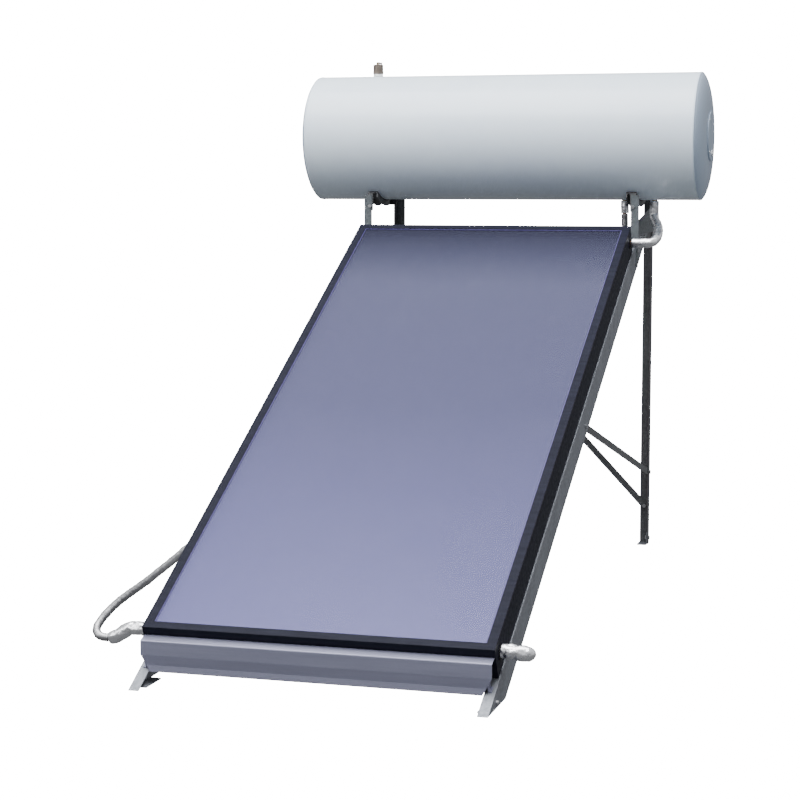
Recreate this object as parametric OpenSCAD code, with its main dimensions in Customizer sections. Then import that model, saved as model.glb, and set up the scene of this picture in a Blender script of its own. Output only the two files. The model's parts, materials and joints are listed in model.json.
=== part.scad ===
// Thermosiphon solar water heater: flat-plate collector, horizontal tank,
// steel roof stand and the two insulated loop pipes.
// Millimetres. +Z up, +X along the tank, the collector slopes up towards +Y.
// The origin is at the middle of the ground footprint.

/* [Collector] */
// Width of the collector box
coll_w = 1000; // [900:1:1060]
// Length of the collector box along the slope
coll_l = 2300; // [2200:1:2310]
// Depth of the collector box
coll_t = 98; // [90:1:104]
// Angle of the collector above the ground
tilt = 27.5; // [27:0.1:28]
// Distance up the rails from the ground to the collector
coll_start = 153; // [150:1:160]
// Width of the frame face around the glass
frame_face = 27; // [24:1:34]
// Thickness of the frame walls
frame_wall = 2; // [1.5:0.1:3]
// Thickness of the glass
glass_t = 3.2; // [3:0.1:4]
// Number of riser tubes under the absorber
riser_count = 8; // [6:1:12]
// Height of the header tubes above the collector back
header_n = 50; // [46:1:52]
// Distance of the bottom header from the collector's lower end
header_in = 47; // [44:1:60]
// Distance of the top header from the collector's upper end
header_top_in = 36; // [34:1:44]

/* [Tank] */
// Outer radius of the tank jacket
tank_r = 229; // [227:1:230]
// Length of the tank jacket
tank_l = 1432; // [1400:1:1440]
// Height of the tank axis above the ground
tank_z = 1538; // [1536:1:1540]
// Distance of the tank axis behind the front feet
tank_y = 2354; // [2352:1:2356]
// How far each end cap bulges
cap_rise = 30; // [28:1:34]
// Outer radius of the pressure vessel
vessel_r = 180; // [170:1:185]
// Length of the straight wall of the vessel
vessel_l = 1200; // [1150:1:1210]
// Distance of the lower ports from the middle of the tank
port_x = 440; // [420:1:450]
// Distance of the hot flow port from the middle of the tank
flow_x = 548; // [540:1:560]
// Distance of the relief valve from the middle of the tank
valve_x = 498; // [480:1:510]

/* [Stand] */
// Outer face of the rails and legs from the middle
side_x = 504; // [502:1:506]
// Depth of the rail web
rail_h = 95; // [90:1:100]
// Width of the rail and leg flanges
flange_w = 30; // [28:1:32]
// Thickness of the stand steel
steel_t = 3; // [2.5:0.1:3]
// Height at which the rails are cut level
rail_top = 1195; // [1190:1:1198]
// Front face of the tank brackets
bracket_y = 2222; // [2220:1:2224]
// Height of the top of the tank brackets
bracket_top = 1327; // [1324:1:1328]
// Back face of the rear legs
leg_back = 2615; // [2614:1:2618]
// Side of the rear leg angle
leg_w = 36; // [34:1:38]
// Height of the rear legs
leg_top = 1488; // [1485:1:1489]

/* [Pipes] */
// Outer radius of the loop pipes
pipe_r = 8; // [7:0.5:8]
// Outer radius of the insulation on the hot pipe
hot_wrap_r = 17; // [16:0.5:18]
// Outer radius of the insulation on the cold pipe
cold_wrap_r = 12.5; // [11.5:0.5:13]

/* [Hidden] */
$fn = 64;
eps = 0.2;             // clearance between neighbouring pieces
web_in = side_x - steel_t;   // inner face of the rail and leg webs
coll_end = coll_start + coll_l;
jacket_t = 1;
cap_edge = tank_l / 2;
nipple_out = 28;       // how far the hot outlet stands out of its cap
cover_out = 5;         // how far the heater cover stands out of its cap
gland_out = 8;         // how far the cable gland stands out of the heater cover
header_r = 11;         // outer radius of the collector's header tubes
bolt_r = 4;            // stand bolts, M8
bolt_head_r = 7.5;
bolt_head_h = 5.3;
bolt_fit = 0.25;
// Height of the dished caps at radius r from the tank axis: nearly flat, then falling to the rim
function cap_h(r) = cap_rise * pow(1 - pow(r / tank_r, 4), 0.8);
outlet_up = 120;       // height of the hot outlet above the tank axis
reach_left = cap_edge + cap_h(outlet_up) + nipple_out;
reach_right = cap_edge + cap_rise + cover_out + gland_out;
shift_x = (reach_left - reach_right) / 2;
depth = leg_back + bolt_head_h;

// Positions on the slope: s up the rail flange, n square to it
function slope_y(s, n) = s * cos(tilt) - n * sin(tilt);
function slope_z(s, n) = s * sin(tilt) + n * cos(tilt);

module site() translate([shift_x, -depth / 2, 0]) children();
module slope() site() rotate([tilt, 0, 0]) children();
// Local Z runs along the tank towards +X, local X points down
module tank_frame() site() translate([0, tank_y, tank_z]) rotate([0, 90, 0]) children();
module both_sides() { children(); mirror([1, 0, 0]) children(); }
module rod_x(r, x0, x1, y, z)
    translate([x0, y, z]) rotate([0, 90, 0]) cylinder(r = r, h = x1 - x0);
module rod_y(r, y0, y1, x, z)
    translate([x, y1, z]) rotate([90, 0, 0]) cylinder(r = r, h = y1 - y0);
module box(low, high) translate(low) cube(high - low);

// ---------------------------------------------------------------- tank
module port_holes(r, up) {
    for (x = [-port_x, port_x, flow_x])
        translate([x, tank_y, tank_z - tank_r - 10]) cylinder(r = r, h = up);
    translate([-valve_x, tank_y, tank_z + tank_r + 10 - up]) cylinder(r = r, h = up);
}

module tank_jacket() color([0.80, 0.83, 0.86]) difference() {
    tank_frame() difference() {
        translate([0, 0, -cap_edge]) cylinder(r = tank_r, h = tank_l, $fn = 128);
        translate([0, 0, -cap_edge - 1]) cylinder(r = tank_r - jacket_t, h = tank_l + 2, $fn = 128);
    }
    site() port_holes(14, 40);
}

cap_steps = 24;
function dome(r, lift) =
    [for (i = [0:cap_steps]) let (q = r * i / cap_steps) [q, lift + cap_h(q)]];
function reversed(v) = [for (i = [len(v) - 1:-1:0]) v[i]];
module end_cap(hole_r) {
    rim_r = tank_r - jacket_t - 0.1;
    difference() {
        rotate_extrude($fn = 128) polygon(concat(
            dome(tank_r, 0.1), [[tank_r, -1], [rim_r, -1], [rim_r, -12], [rim_r - jacket_t, -12]],
            reversed(dome(rim_r - jacket_t, -1.2))));
        if (hole_r > 0) translate([0, 0, -20]) cylinder(r = hole_r, h = 80);
    }
}
screw_ring = 81;
module screw_places() for (a = [45:90:315]) rotate([0, 0, a]) translate([screw_ring, 0, 0]) children();
module cap_side(right) tank_frame() mirror([0, 0, right ? 0 : 1])
    translate([0, 0, cap_edge + 1]) children();
module end_cap_right() color([0.42, 0.47, 0.55]) cap_side(true) difference() {
    end_cap(74);
    screw_places() translate([0, 0, -10]) cylinder(r = 2.2, h = 60);
}
module end_cap_left() color([0.42, 0.47, 0.55]) difference() {
    cap_side(false) end_cap(0);
    site() rod_x(14, -reach_left, -cap_edge, tank_y, tank_z + outlet_up);
}

neck_r = 55;           // heater opening of the vessel
flange_x = 690;        // face of the vessel's heater flange
head_rise = 60;
module vessel_outline(grow) {
    half = vessel_l / 2;
    r = vessel_r + grow;
    rotate_extrude($fn = 96) polygon(concat(
        [for (a = [0:7.5:90]) [r * cos(a), half + (head_rise + grow) * sin(a)]],
        [for (a = [90:-7.5:0]) [r * cos(a), -half - (head_rise + grow) * sin(a)]]));
}
module inner_tank() color([0.18, 0.25, 0.42]) difference() {
    tank_frame() difference() {
        union() {
            vessel_outline(0);
            translate([0, 0, vessel_l / 2]) cylinder(r = neck_r, h = flange_x - vessel_l / 2);
            translate([0, 0, flange_x - 8]) cylinder(r = 72, h = 8);
        }
        vessel_outline(-2.5);
        translate([0, 0, vessel_l / 2 - 50]) cylinder(r = neck_r - 3, h = 300);
        translate([0, 0, flange_x]) ring_bolt_holes(4.2);
    }
    site() port_holes(10.6, 75);
    site() rod_x(10.6, -cap_edge, -vessel_l / 2, tank_y, tank_z + outlet_up);
}
module tank_insulation() color([0.93, 0.86, 0.62]) difference() {
    tank_frame() difference() {
        translate([0, 0, -cap_edge + 14]) cylinder(r = tank_r - jacket_t - 1.4, h = tank_l - 28, $fn = 96);
        vessel_outline(0.3);
        translate([0, 0, vessel_l / 2]) cylinder(r = 76, h = 200);
    }
    site() port_holes(14.2, 70);
    site() rod_x(14.2, -cap_edge, -vessel_l / 2, tank_y, tank_z + outlet_up);
}

// Nipple standing on local Z, with a threaded collar at its far end or plain
nipple_r = 10.4;
thread_r = 13.2;
thread_l = 18;
module nipple(length, threaded) difference() {
    union() {
        cylinder(r = nipple_r, h = length);
        if (threaded) translate([0, 0, length - thread_l]) cylinder(r = thread_r, h = thread_l);
    }
    translate([0, 0, -1]) cylinder(r = 9, h = length + 2);
}
wall_in = tank_r - vessel_r + 3;       // nipple length hidden in the insulation
module hot_outlet_nipple() color("#b08d57") site()
    translate([-vessel_l / 2 - 42, tank_y, tank_z + outlet_up]) rotate([0, -90, 0])
        nipple(reach_left - vessel_l / 2 - 42, true);
module cold_inlet_nipple() color([0.10, 0.10, 0.11]) site()
    translate([-port_x, tank_y, tank_z - vessel_r + 3]) mirror([0, 0, 1]) nipple(wall_in + 20, true);
module loop_ports() color("#b08d57") site() for (x = [port_x, flow_x])
    translate([x, tank_y, tank_z - vessel_r + 3]) mirror([0, 0, 1]) nipple(wall_in + 16, false);

// ---------------------------------------------------------------- heater end
gasket_t = 3;
plate_t = 6;
plate_face = flange_x + gasket_t + plate_t;
bolt_ring = 63;        // radius of the ring of flange bolts
module ring_bolt_holes(r) for (a = [0:60:300]) rotate([0, 0, a])
    translate([bolt_ring, 0, -50]) cylinder(r = r, h = 100);
module flange_gasket() color([0.15, 0.15, 0.15]) tank_frame() translate([0, 0, flange_x]) difference() {
    cylinder(r = 71, h = gasket_t);
    translate([0, 0, -1]) cylinder(r = neck_r - 3, h = gasket_t + 2);
    ring_bolt_holes(4.2);
}
module heater_flange() color([0.70, 0.70, 0.72]) tank_frame()
    translate([0, 0, flange_x + gasket_t]) difference() {
        cylinder(r = 71, h = plate_t);
        ring_bolt_holes(4.2);
        for (x = [-22, 22]) translate([x, 0, -1]) cylinder(r = 5.1, h = plate_t + 2);
        translate([0, 28, -1]) cylinder(r = 8.1, h = plate_t + 2);
        translate([0, -26, -1]) cylinder(r = 12.1, h = plate_t + 2);
    }
module flange_bolts() color([0.75, 0.75, 0.77]) tank_frame() ring_bolts();
bolt_reach = 14;       // bolt length behind the vessel flange's face
module ring_bolts() for (a = [0:60:300]) rotate([0, 0, a])
    translate([bolt_ring, 0, flange_x - bolt_reach]) {
        cylinder(r = 4, h = plate_face - flange_x + bolt_reach);
        translate([0, 0, plate_face - flange_x + bolt_reach]) cylinder(r = 6.5, h = 5, $fn = 6);
    }
// Sheathed element: two straight legs joined by a return bend
element_l = 430;
module heater_element() color([0.62, 0.40, 0.26]) tank_frame() {
    for (x = [-22, 22]) translate([x, 0, plate_face + 8 - element_l]) cylinder(r = 5, h = element_l);
    translate([0, 0, plate_face + 8 - element_l]) rotate([-90, 0, 0])
        rotate_extrude(angle = 180) translate([22, 0]) circle(r = 5);
}
module thermostat() color([0.12, 0.12, 0.13]) tank_frame() translate([0, 28, plate_face + eps]) {
    translate([0, 0, -260]) cylinder(r = 4, h = 261);
    translate([-16, -12, 0]) cube([32, 34, 16]);
    translate([0, 6, 15]) cylinder(r = 2.5, h = 9);
}
dial_y = 34;
dial_gap = 17;         // dial's back face above the plate
module thermostat_dial() color([0.75, 0.12, 0.10]) tank_frame()
    translate([0, dial_y, plate_face + eps + dial_gap]) difference() {
        union() {
            cylinder(r = 10, h = 6);
            translate([-1, 0, 5.9]) cube([2, 9, 1.6]);
        }
        translate([0, 0, -1]) cylinder(r = 2.55, h = 12);
    }
module anode_rod() color([0.66, 0.66, 0.64]) tank_frame() translate([0, -26, 0]) {
    translate([0, 0, flange_x - 420]) cylinder(r = 10, h = 415);
    translate([0, 0, flange_x - 6]) cylinder(r = 12, h = plate_face - flange_x + 6);
    translate([0, 0, plate_face]) cylinder(r = 13.5, h = 7, $fn = 6);
}
cover_r = 88;
cover_bore = 76;
gland_x = 60;          // gland below the middle of the cover
cover_seat = cap_edge + 1.4 + cap_h(cover_bore);
cover_top = cap_edge + cap_rise + cover_out;
module heater_cover() color([0.50, 0.54, 0.61]) tank_frame() difference() {
    rotate_extrude() polygon([[0, cover_top - 2], [cover_bore, cover_top - 2], [cover_bore, cover_seat],
        [cover_r, cover_seat], [cover_r, cover_top - 2], [cover_r - 3, cover_top], [0, cover_top]]);
    screw_places() translate([0, 0, cover_seat - 10]) cylinder(r = 2.2, h = 60);
    translate([gland_x, 0, cover_top - 10]) cylinder(r = 7.2, h = 20);
}
module cover_screws() color([0.75, 0.75, 0.77]) tank_frame()
    screw_places() {
        translate([0, 0, cover_seat - 8]) cylinder(r = 2, h = cover_top - cover_seat + 9);
        translate([0, 0, cover_top]) cylinder(r = 3.6, h = 1.8);
    }
module cable_gland() color([0.85, 0.86, 0.88]) tank_frame() translate([gland_x, 0, cover_top]) difference() {
    union() {
        translate([0, 0, -12]) cylinder(r = 7, h = 12.1);
        cylinder(r = 11, h = 5, $fn = 6);
        translate([0, 0, 4.9]) cylinder(r = 8, h = gland_out - 4.9);
    }
    translate([0, 0, -13]) cylinder(r = 4, h = 30);
}

// ---------------------------------------------------------------- relief valve
valve_base = tank_z + tank_r;
module valve_frame() site() translate([-valve_x, tank_y, valve_base]) children();
pin_r = 1.5;
pin_y = 12;
pin_z = 49;
seat_z = 12;           // seat of the valve disc
roof_z = 40;           // underside of the bonnet above the spring
stem_r = 3;
outlet_z = 27;
shank_l = 51;          // threaded shank, down through the foam to the vessel
washer_t = 9;          // white fibre washer under the valve
module outlet(r, from, to) translate([0, from, outlet_z]) rotate([-90, 0, 0]) cylinder(r = r, h = to - from);
module valve_body() color([0.42, 0.37, 0.33]) valve_frame() difference() {
    union() {
        translate([0, 0, -shank_l]) cylinder(r = 10.2, h = shank_l + 2);
        cylinder(r = 12, h = washer_t + 1);
        translate([0, 0, washer_t + 0.5]) cylinder(r = 20.5, h = 11, $fn = 6);
        translate([0, 0, washer_t + 11]) cylinder(r = 18.6, h = roof_z + 4 - washer_t - 11);
        for (x = [-10, 7]) translate([x, pin_y - 4.5, 43]) cube([3, 9, 10]);
        outlet(8.5, 10, 30);
    }
    translate([0, 0, -shank_l - 1]) cylinder(r = 6.5, h = seat_z + shank_l + 2);
    translate([0, 0, seat_z]) cylinder(r = 13, h = roof_z - seat_z);
    translate([0, 0, roof_z - 1]) cylinder(r = stem_r + 0.06, h = 30);
    outlet(5.5, 8, 40);
    translate([-20, pin_y, pin_z]) rotate([0, 90, 0]) cylinder(r = pin_r + 0.02, h = 40);
}
module valve_gasket() color([0.90, 0.90, 0.90]) valve_frame() difference() {
    translate([0, 0, 0.3]) cylinder(r = 18, h = washer_t - 0.3);
    translate([0, 0, -2]) cylinder(r = 12.1, h = 12);
}
disc_t = 3;
stem_head = 50.5;
module valve_stem() color([0.72, 0.60, 0.36]) valve_frame() {
    translate([0, 0, seat_z + 0.3]) cylinder(r = 9, h = disc_t);
    translate([0, 0, seat_z + 2]) cylinder(r = stem_r, h = stem_head - seat_z - 1);
    translate([0, 0, stem_head]) cylinder(r = 6.5, h = 3);
}
module valve_lever() color([0.30, 0.28, 0.27]) valve_frame() translate([0, pin_y, pin_z]) difference() {
    union() {
        rotate([0, 90, 0]) translate([0, 0, -6]) cylinder(r = 3, h = 12);
        translate([-6, -8, -2.6]) cube([12, 9, 3]);
        rotate([8, 0, 0]) translate([-6, 0, -1]) cube([12, 24, 3]);
    }
    rotate([0, 90, 0]) translate([0, 0, -8]) cylinder(r = pin_r + 0.05, h = 16);
}
module lever_pin() color([0.75, 0.75, 0.77]) valve_frame()
    translate([-11, pin_y, pin_z]) rotate([0, 90, 0]) cylinder(r = pin_r, h = 22);

// ---------------------------------------------------------------- swept tubes
function unit(v) = v / norm(v);
// Catmull-Rom point between b and c
function between(a, b, c, d, t) = 0.5 * ((2 * b) + (c - a) * t
    + (2 * a - 5 * b + 4 * c - d) * t * t + (3 * b - a - 3 * c + d) * t * t * t);
function smooth(p, k) = concat([for (i = [0:len(p) - 2], j = [0:k - 1])
    between(p[max(i - 1, 0)], p[i], p[i + 1], p[min(i + 2, len(p) - 1)], j / k)], [p[len(p) - 1]]);
function heading(p, i) = unit(p[min(i + 1, len(p) - 1)] - p[max(i - 1, 0)]);
// Side direction carried along the route, so that the rings don't twist
function carry(p, i, side) = let (u = unit(side - (side * heading(p, i)) * heading(p, i)))
    i == len(p) - 1 ? [u] : concat([u], carry(p, i + 1, u));
function rings(p, r, sides, first) = let (u = carry(p, 0, first))
    [for (i = [0:len(p) - 1], k = [0:sides - 1]) let (a = 360 * k / sides)
        p[i] + r * (cos(a) * u[i] + sin(a) * cross(heading(p, i), u[i]))];
module swept_rod(p, r, sides, first) {
    n = len(p);
    polyhedron(rings(p, r, sides, first), concat(
        [for (i = [0:n - 2], k = [0:sides - 1]) let (m = (k + 1) % sides)
            [i * sides + k, (i + 1) * sides + k, (i + 1) * sides + m, i * sides + m]],
        [[for (k = [0:sides - 1]) k]], [[for (k = [sides - 1:-1:0]) (n - 1) * sides + k]]));
}
module swept_sleeve(p, r, r_in, sides, first) {
    n = len(p);
    q = n * sides;
    polyhedron(concat(rings(p, r, sides, first), rings(p, r_in, sides, first)), concat(
        [for (i = [0:n - 2], k = [0:sides - 1]) let (m = (k + 1) % sides)
            [i * sides + k, (i + 1) * sides + k, (i + 1) * sides + m, i * sides + m]],
        [for (i = [0:n - 2], k = [0:sides - 1]) let (m = (k + 1) % sides)
            [q + i * sides + m, q + (i + 1) * sides + m, q + (i + 1) * sides + k, q + i * sides + k]],
        [for (k = [0:sides - 1]) let (m = (k + 1) % sides) [k, m, q + m, q + k]],
        [for (k = [0:sides - 1]) let (m = (k + 1) % sides, e = (n - 1) * sides)
            [e + m, e + k, q + e + k, q + e + m]]));
}

// ---------------------------------------------------------------- collector
half_w = coll_w / 2;
rubber_t = 1.8;        // gasket above and below the glass
gasket_show = 3;       // gasket seen inside the frame face
ledge_w = 18;
glass_low = coll_t - frame_wall - rubber_t - 2 * eps - glass_t;
ledge_n = glass_low - rubber_t - 2 * eps;
low_s = coll_start + header_in;
top_s = coll_end - header_top_in;
// Cross-section of a frame bar: u from the outer face inwards, n up
frame_section = [[0, 0], [18, 0], [18, frame_wall], [frame_wall, frame_wall],
    [frame_wall, ledge_n - 2], [ledge_w, ledge_n - 2], [ledge_w, ledge_n], [frame_wall, ledge_n],
    [frame_wall, coll_t - frame_wall], [frame_face, coll_t - frame_wall], [frame_face, coll_t], [0, coll_t]];
// A bar of the given length along local X, mitred at both ends
module frame_bar(length) intersection() {
    translate([-length / 2, 0, 0]) rotate([90, 0, 90]) linear_extrude(length) polygon(frame_section);
    linear_extrude(coll_t) polygon([[-length / 2 + 0.1, 0], [length / 2 - 0.1, 0],
        [length / 2 - 40.1, 40], [-length / 2 + 40.1, 40]]);
}
module side_bar(right, exits) color([0.07, 0.07, 0.08]) slope() difference() {
    mirror([right ? 0 : 1, 0, 0]) translate([half_w, (coll_start + coll_end) / 2, 0])
        rotate([0, 0, 90]) frame_bar(coll_l);
    for (s = exits) rod_x(16, (right ? 1 : -1) * half_w - 20, (right ? 1 : -1) * half_w + 20, s, header_n);
    rail_bolt_holes();
}
module frame_right() side_bar(true, [low_s, top_s]);
module frame_left() side_bar(false, [low_s]);
module frame_bottom() color([0.07, 0.07, 0.08]) slope()
    translate([0, coll_start, 0]) frame_bar(coll_w);
module frame_top() color([0.07, 0.07, 0.08]) slope()
    translate([0, coll_end, 0]) rotate([0, 0, 180]) frame_bar(coll_w);
module collector_block(inset, n0, n1) slope() box([-half_w + inset, coll_start + inset, n0],
    [half_w - inset, coll_end - inset, n1]);
module glass_cover() color([0.42, 0.42, 0.55, 0.55]) collector_block(5.2, glass_low, glass_low + glass_t);
module glass_gasket() color([0.05, 0.05, 0.05]) difference() {
    collector_block(3, ledge_n + eps, coll_t - frame_wall - eps);
    collector_block(5, glass_low - eps, glass_low + glass_t + eps);
    collector_block(frame_face + gasket_show, glass_low, coll_t);
    collector_block(ledge_w, ledge_n, glass_low);
}
absorber_n = header_n + 12;
module absorber_plate() color([0.20, 0.20, 0.42]) collector_block(20, absorber_n, absorber_n + 1);
riser_r = 4;
riser_span = coll_w - 120;
riser_gap = 0.3;       // brazing gap between a riser and its header
module riser_tubes() color("#b87333") slope() for (i = [0:riser_count - 1])
    translate([i * riser_span / (riser_count - 1) - riser_span / 2, low_s + header_r + riser_gap,
        absorber_n - riser_r - 0.2]) rotate([-90, 0, 0]) difference() {
            cylinder(r = riser_r, h = top_s - low_s - 2 * (header_r + riser_gap), $fn = 24);
            translate([0, 0, -1]) cylinder(r = riser_r - 0.6, h = coll_l, $fn = 24);
        }
header_out = 26;       // how far a header end stands out of the box
module header_tube(s, x0, x1, closed_left) slope() difference() {
    rod_x(header_r, x0, x1, s, header_n);
    rod_x(header_r - 1, closed_left ? x0 + 2 : x0 - 1, x1 + 1, s, header_n);
}
module header_top() color("#b87333") header_tube(top_s, -half_w + 12, half_w + header_out, true);
module header_bottom() color("#b87333") header_tube(low_s, -half_w - header_out, half_w + header_out, false);
// Places with local Z pointing out of the box along X, for a list of [side, s]
module header_ends(ends) slope() for (e = ends)
    translate([e[0] * half_w, e[1], header_n]) rotate([0, e[0] * 90, 0]) children();
module header_plug() color("#b08d57") header_ends([[1, low_s]]) difference() {
    union() {
        translate([0, 0, 10]) cylinder(r = 14, h = 20);
        translate([0, 0, 29]) cylinder(r = 12, h = 6, $fn = 6);
    }
    translate([0, 0, 9]) cylinder(r = header_r + 0.1, h = 18);
}
module header_grommets() color([0.05, 0.05, 0.05])
    header_ends([[1, low_s], [-1, low_s], [1, top_s]]) difference() {
        union() {
            translate([0, 0, -4]) cylinder(r = 15.8, h = 5);
            translate([0, 0, eps]) cylinder(r = 20, h = 2.8);
        }
        translate([0, 0, -5]) cylinder(r = header_r + 0.1, h = 10);
    }
module collector_insulation() color([0.80, 0.70, 0.40])
    collector_block(20, 3.2, header_n - header_r - 1);
module back_sheet() color([0.72, 0.73, 0.75]) difference() {
    collector_block(2.5, 2.2, 3);
    slope() rail_bolt_holes();
}

// ---------------------------------------------------------------- stand
// Stand joints. Side joints: [y, z, inner x, outer x]; rear and front joints run along Y
arm_z = rail_top - 20;
brace_rail = [1298, 606];
brace_leg = [leg_back - 18, 277];
side_in = web_in - steel_t - eps;
anchor_y = 90;
anchor_rear_y = leg_back - 30;
anchor_x = 484;
side_joints = [
    [brace_rail[0], brace_rail[1], side_in, side_x],
    [brace_leg[0], brace_leg[1], side_in, side_x],
    [2335, arm_z, side_in, side_x], [2400, arm_z, side_in, side_x],
    [leg_back - 25, arm_z, side_in, side_x],
    [bracket_y + 18, 1130, web_in, side_x + steel_t + eps],
    [bracket_y + 18, 1092, web_in, side_x + steel_t + eps],
    [98, 14, side_in, side_x],
    [leg_back - 20, 24, side_in, side_x],
    [leg_back - 25, 1475, side_in, side_x]];
xbar_low = 145;
xbar_high = 1165;
xbar_x = 485;
xbar_end = 7;          // how far a rear brace runs past its end holes
tab_joint = [491, 1286];
rail_bolt_s = [320, 1300, 2150];
module side_holes() for (j = side_joints) rod_x(bolt_r + bolt_fit, j[2] - 15, j[3] + 15, j[0], j[1]);
module rear_holes() for (z = [xbar_low, xbar_high])
    rod_y(bolt_r + bolt_fit, leg_back - 20, leg_back + 5, xbar_x, z);
module tab_hole()
    rod_y(bolt_r + bolt_fit, bracket_y - 5, bracket_y + 20, tab_joint[0], tab_joint[1]);
module rail_bolt_holes() for (x = [-1, 1], s = rail_bolt_s)
    translate([x * (side_x - 14), s, -10]) cylinder(r = bolt_r + bolt_fit, h = 30);

module rail() difference() {
    intersection() {
        rotate([tilt, 0, 0]) difference() {
            box([side_x - flange_w, -300, -rail_h], [side_x, 3000, 0]);
            box([side_x - flange_w - 1, -301, -rail_h - 1], [web_in, 3001, -steel_t]);
        }
        box([0, -10, 0], [side_x + 1, leg_back, rail_top]);
    }
    side_holes();
    rotate([tilt, 0, 0]) rail_bolt_holes();
}
module rail_right() color([0.40, 0.42, 0.44]) site() rail();
module rail_left() color([0.40, 0.42, 0.44]) site() mirror([1, 0, 0]) rail();
module leg() difference() {
    union() {
        box([web_in, leg_back - leg_w, 0], [side_x, leg_back, leg_top]);
        box([side_x - leg_w, leg_back - steel_t, 0], [side_x, leg_back, leg_top]);
    }
    side_holes();
    rear_holes();
}
module leg_right() color([0.36, 0.37, 0.38]) site() leg();
module leg_left() color([0.36, 0.37, 0.38]) site() mirror([1, 0, 0]) leg();
arm_start = 2312;
module top_arms() color([0.36, 0.37, 0.38]) site() both_sides() difference() {
    union() {
        box([side_in, arm_start, rail_top - 40], [web_in - eps, leg_back - 15, rail_top]);
        box([web_in - eps - 38, arm_start, rail_top - steel_t], [web_in - eps, leg_back - 15, rail_top]);
    }
    side_holes();
}
// A flat bar in the plane of the stand's side, between two of its joints
module side_brace() {
    run = brace_leg - brace_rail;
    difference() {
        translate([side_in, brace_rail[0], brace_rail[1]]) rotate([atan2(run[1], run[0]), 0, 0])
            box([0, -10, -12.5], [steel_t, norm(run) + 10, 12.5]);
        side_holes();
    }
}
module side_braces() color([0.30, 0.31, 0.32]) site() both_sides() side_brace();
module rear_brace(y) difference() {
    run = [2 * xbar_x, xbar_high - xbar_low];
    translate([-xbar_x, y, xbar_low]) rotate([0, -atan2(run[1], run[0]), 0])
        box([-xbar_end, -steel_t, -12.5], [norm(run) + xbar_end, 0, 12.5]);
    both_sides() rear_holes();
}
module rear_brace_a() color([0.30, 0.31, 0.32]) site() mirror([1, 0, 0]) rear_brace(leg_back - steel_t - eps);
module rear_brace_b() color([0.30, 0.31, 0.32]) site() rear_brace(leg_back - 2 * (steel_t + eps));
bracket_out = side_x + steel_t + eps;
face_inner = 23;       // front plate of a bracket, inwards and outwards of the web's outer face
face_outer = 6;
module bracket() difference() {
    union() {
        box([side_x + eps, bracket_y, 1070], [bracket_out, bracket_y + 35, bracket_top]);
        box([bracket_out - face_inner, bracket_y, 1163],
            [bracket_out + face_outer, bracket_y + steel_t, bracket_top]);
    }
    side_holes();
    tab_hole();
}
// Gusset that widens the right bracket's web back to the rear leg, outer line in [y, z]
gusset_line = [[bracket_y + 30, 1188], [bracket_y + 30, 1236], [leg_back - 9, 1290], [leg_back - 9, 1188]];
module bracket_right() color([0.46, 0.49, 0.50]) site() {
    bracket();
    translate([side_x + eps, 0, 0]) rotate([90, 0, 90]) linear_extrude(steel_t) polygon(gusset_line);
}
module bracket_left() color([0.46, 0.49, 0.50]) site() mirror([1, 0, 0]) bracket();

// Rolled channel under the tank, with a tab down behind the bracket
pad_t = 3;
cradle_r = tank_r + pad_t + 0.4;
cradle_d = 20;
cradle_w = 36;
tab_w = 20;            // tab that bolts to the back of the bracket
cradle_front = 30;     // degrees ahead of the lowest point
cradle_rear = 78;      // degrees behind it
// Local X points down and local Y along +Y, so the sweep starts ahead of the lowest point
module arc_band(r0, r1, w0, w1) rotate([0, 0, -cradle_front])
    rotate_extrude(angle = cradle_front + cradle_rear, $fn = 128)
        translate([r0, w0]) square([r1 - r0, w1 - w0]);
module cradle() {
    x1 = web_in - eps;
    x0 = x1 - cradle_w;
    difference() {
        union() {
            translate([0, tank_y, tank_z]) rotate([0, 90, 0]) {
                arc_band(cradle_r, cradle_r + steel_t, x0, x1);
                for (x = [x0, x1 - steel_t]) arc_band(cradle_r, cradle_r + cradle_d, x, x + steel_t);
            }
            box([x1 - tab_w, bracket_y + steel_t + eps, 1270],
                [x1, bracket_y + 2 * steel_t + eps, 1334]);
            box([x1 - tab_w, bracket_y + steel_t + eps, 1316], [x1, bracket_y + 14, 1330]);
        }
        side_holes();
        tab_hole();
    }
}
module tank_cradles() color([0.22, 0.23, 0.24]) site() both_sides() cradle();
module cradle_pads() color([0.05, 0.05, 0.05]) site() both_sides()
    translate([0, tank_y, tank_z]) rotate([0, 90, 0])
        arc_band(tank_r + 0.2, cradle_r - 0.1, web_in - eps - cradle_w, web_in - eps);

// Front apron: the sheet's outer line in [y, z], from the collector's end down to the lower lip
apron_half = 497;
apron_t = 1.5;
ledge_edge = [101.3, 134];
nose = [77, 120.5];
nose_r = 5;
crease_high = [72, 84];
crease_low = [75.5, 56];
lip = [73.5, 37.5];
lip_half = 470;        // half width of the lip, clear of the rail flanges
rib_x = 484;           // ribs that stand the apron on the rails
apron_line = concat([ledge_edge], [for (a = [111:11.5:180]) nose + nose_r * [cos(a), sin(a)]],
    [crease_high, crease_low, lip]);
function side_step(v, i, d) = let (h = unit(v[min(i + 1, len(v) - 1)] - v[max(i - 1, 0)]))
    v[i] + d * [-h[1], h[0]];
module apron_sheet() intersection() {
    rotate([90, 0, 90]) translate([0, 0, -apron_half]) linear_extrude(2 * apron_half)
        polygon(concat(apron_line,
            reversed([for (i = [0:len(apron_line) - 1]) side_step(apron_line, i, apron_t)])));
    translate([0, 200, 0]) rotate([90, 0, 0]) linear_extrude(200) polygon([
        [-apron_half, 200], [-apron_half, crease_high[1]], [-lip_half, lip[1] - 1],
        [lip_half, lip[1] - 1], [apron_half, crease_high[1]], [apron_half, 200]]);
}
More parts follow.
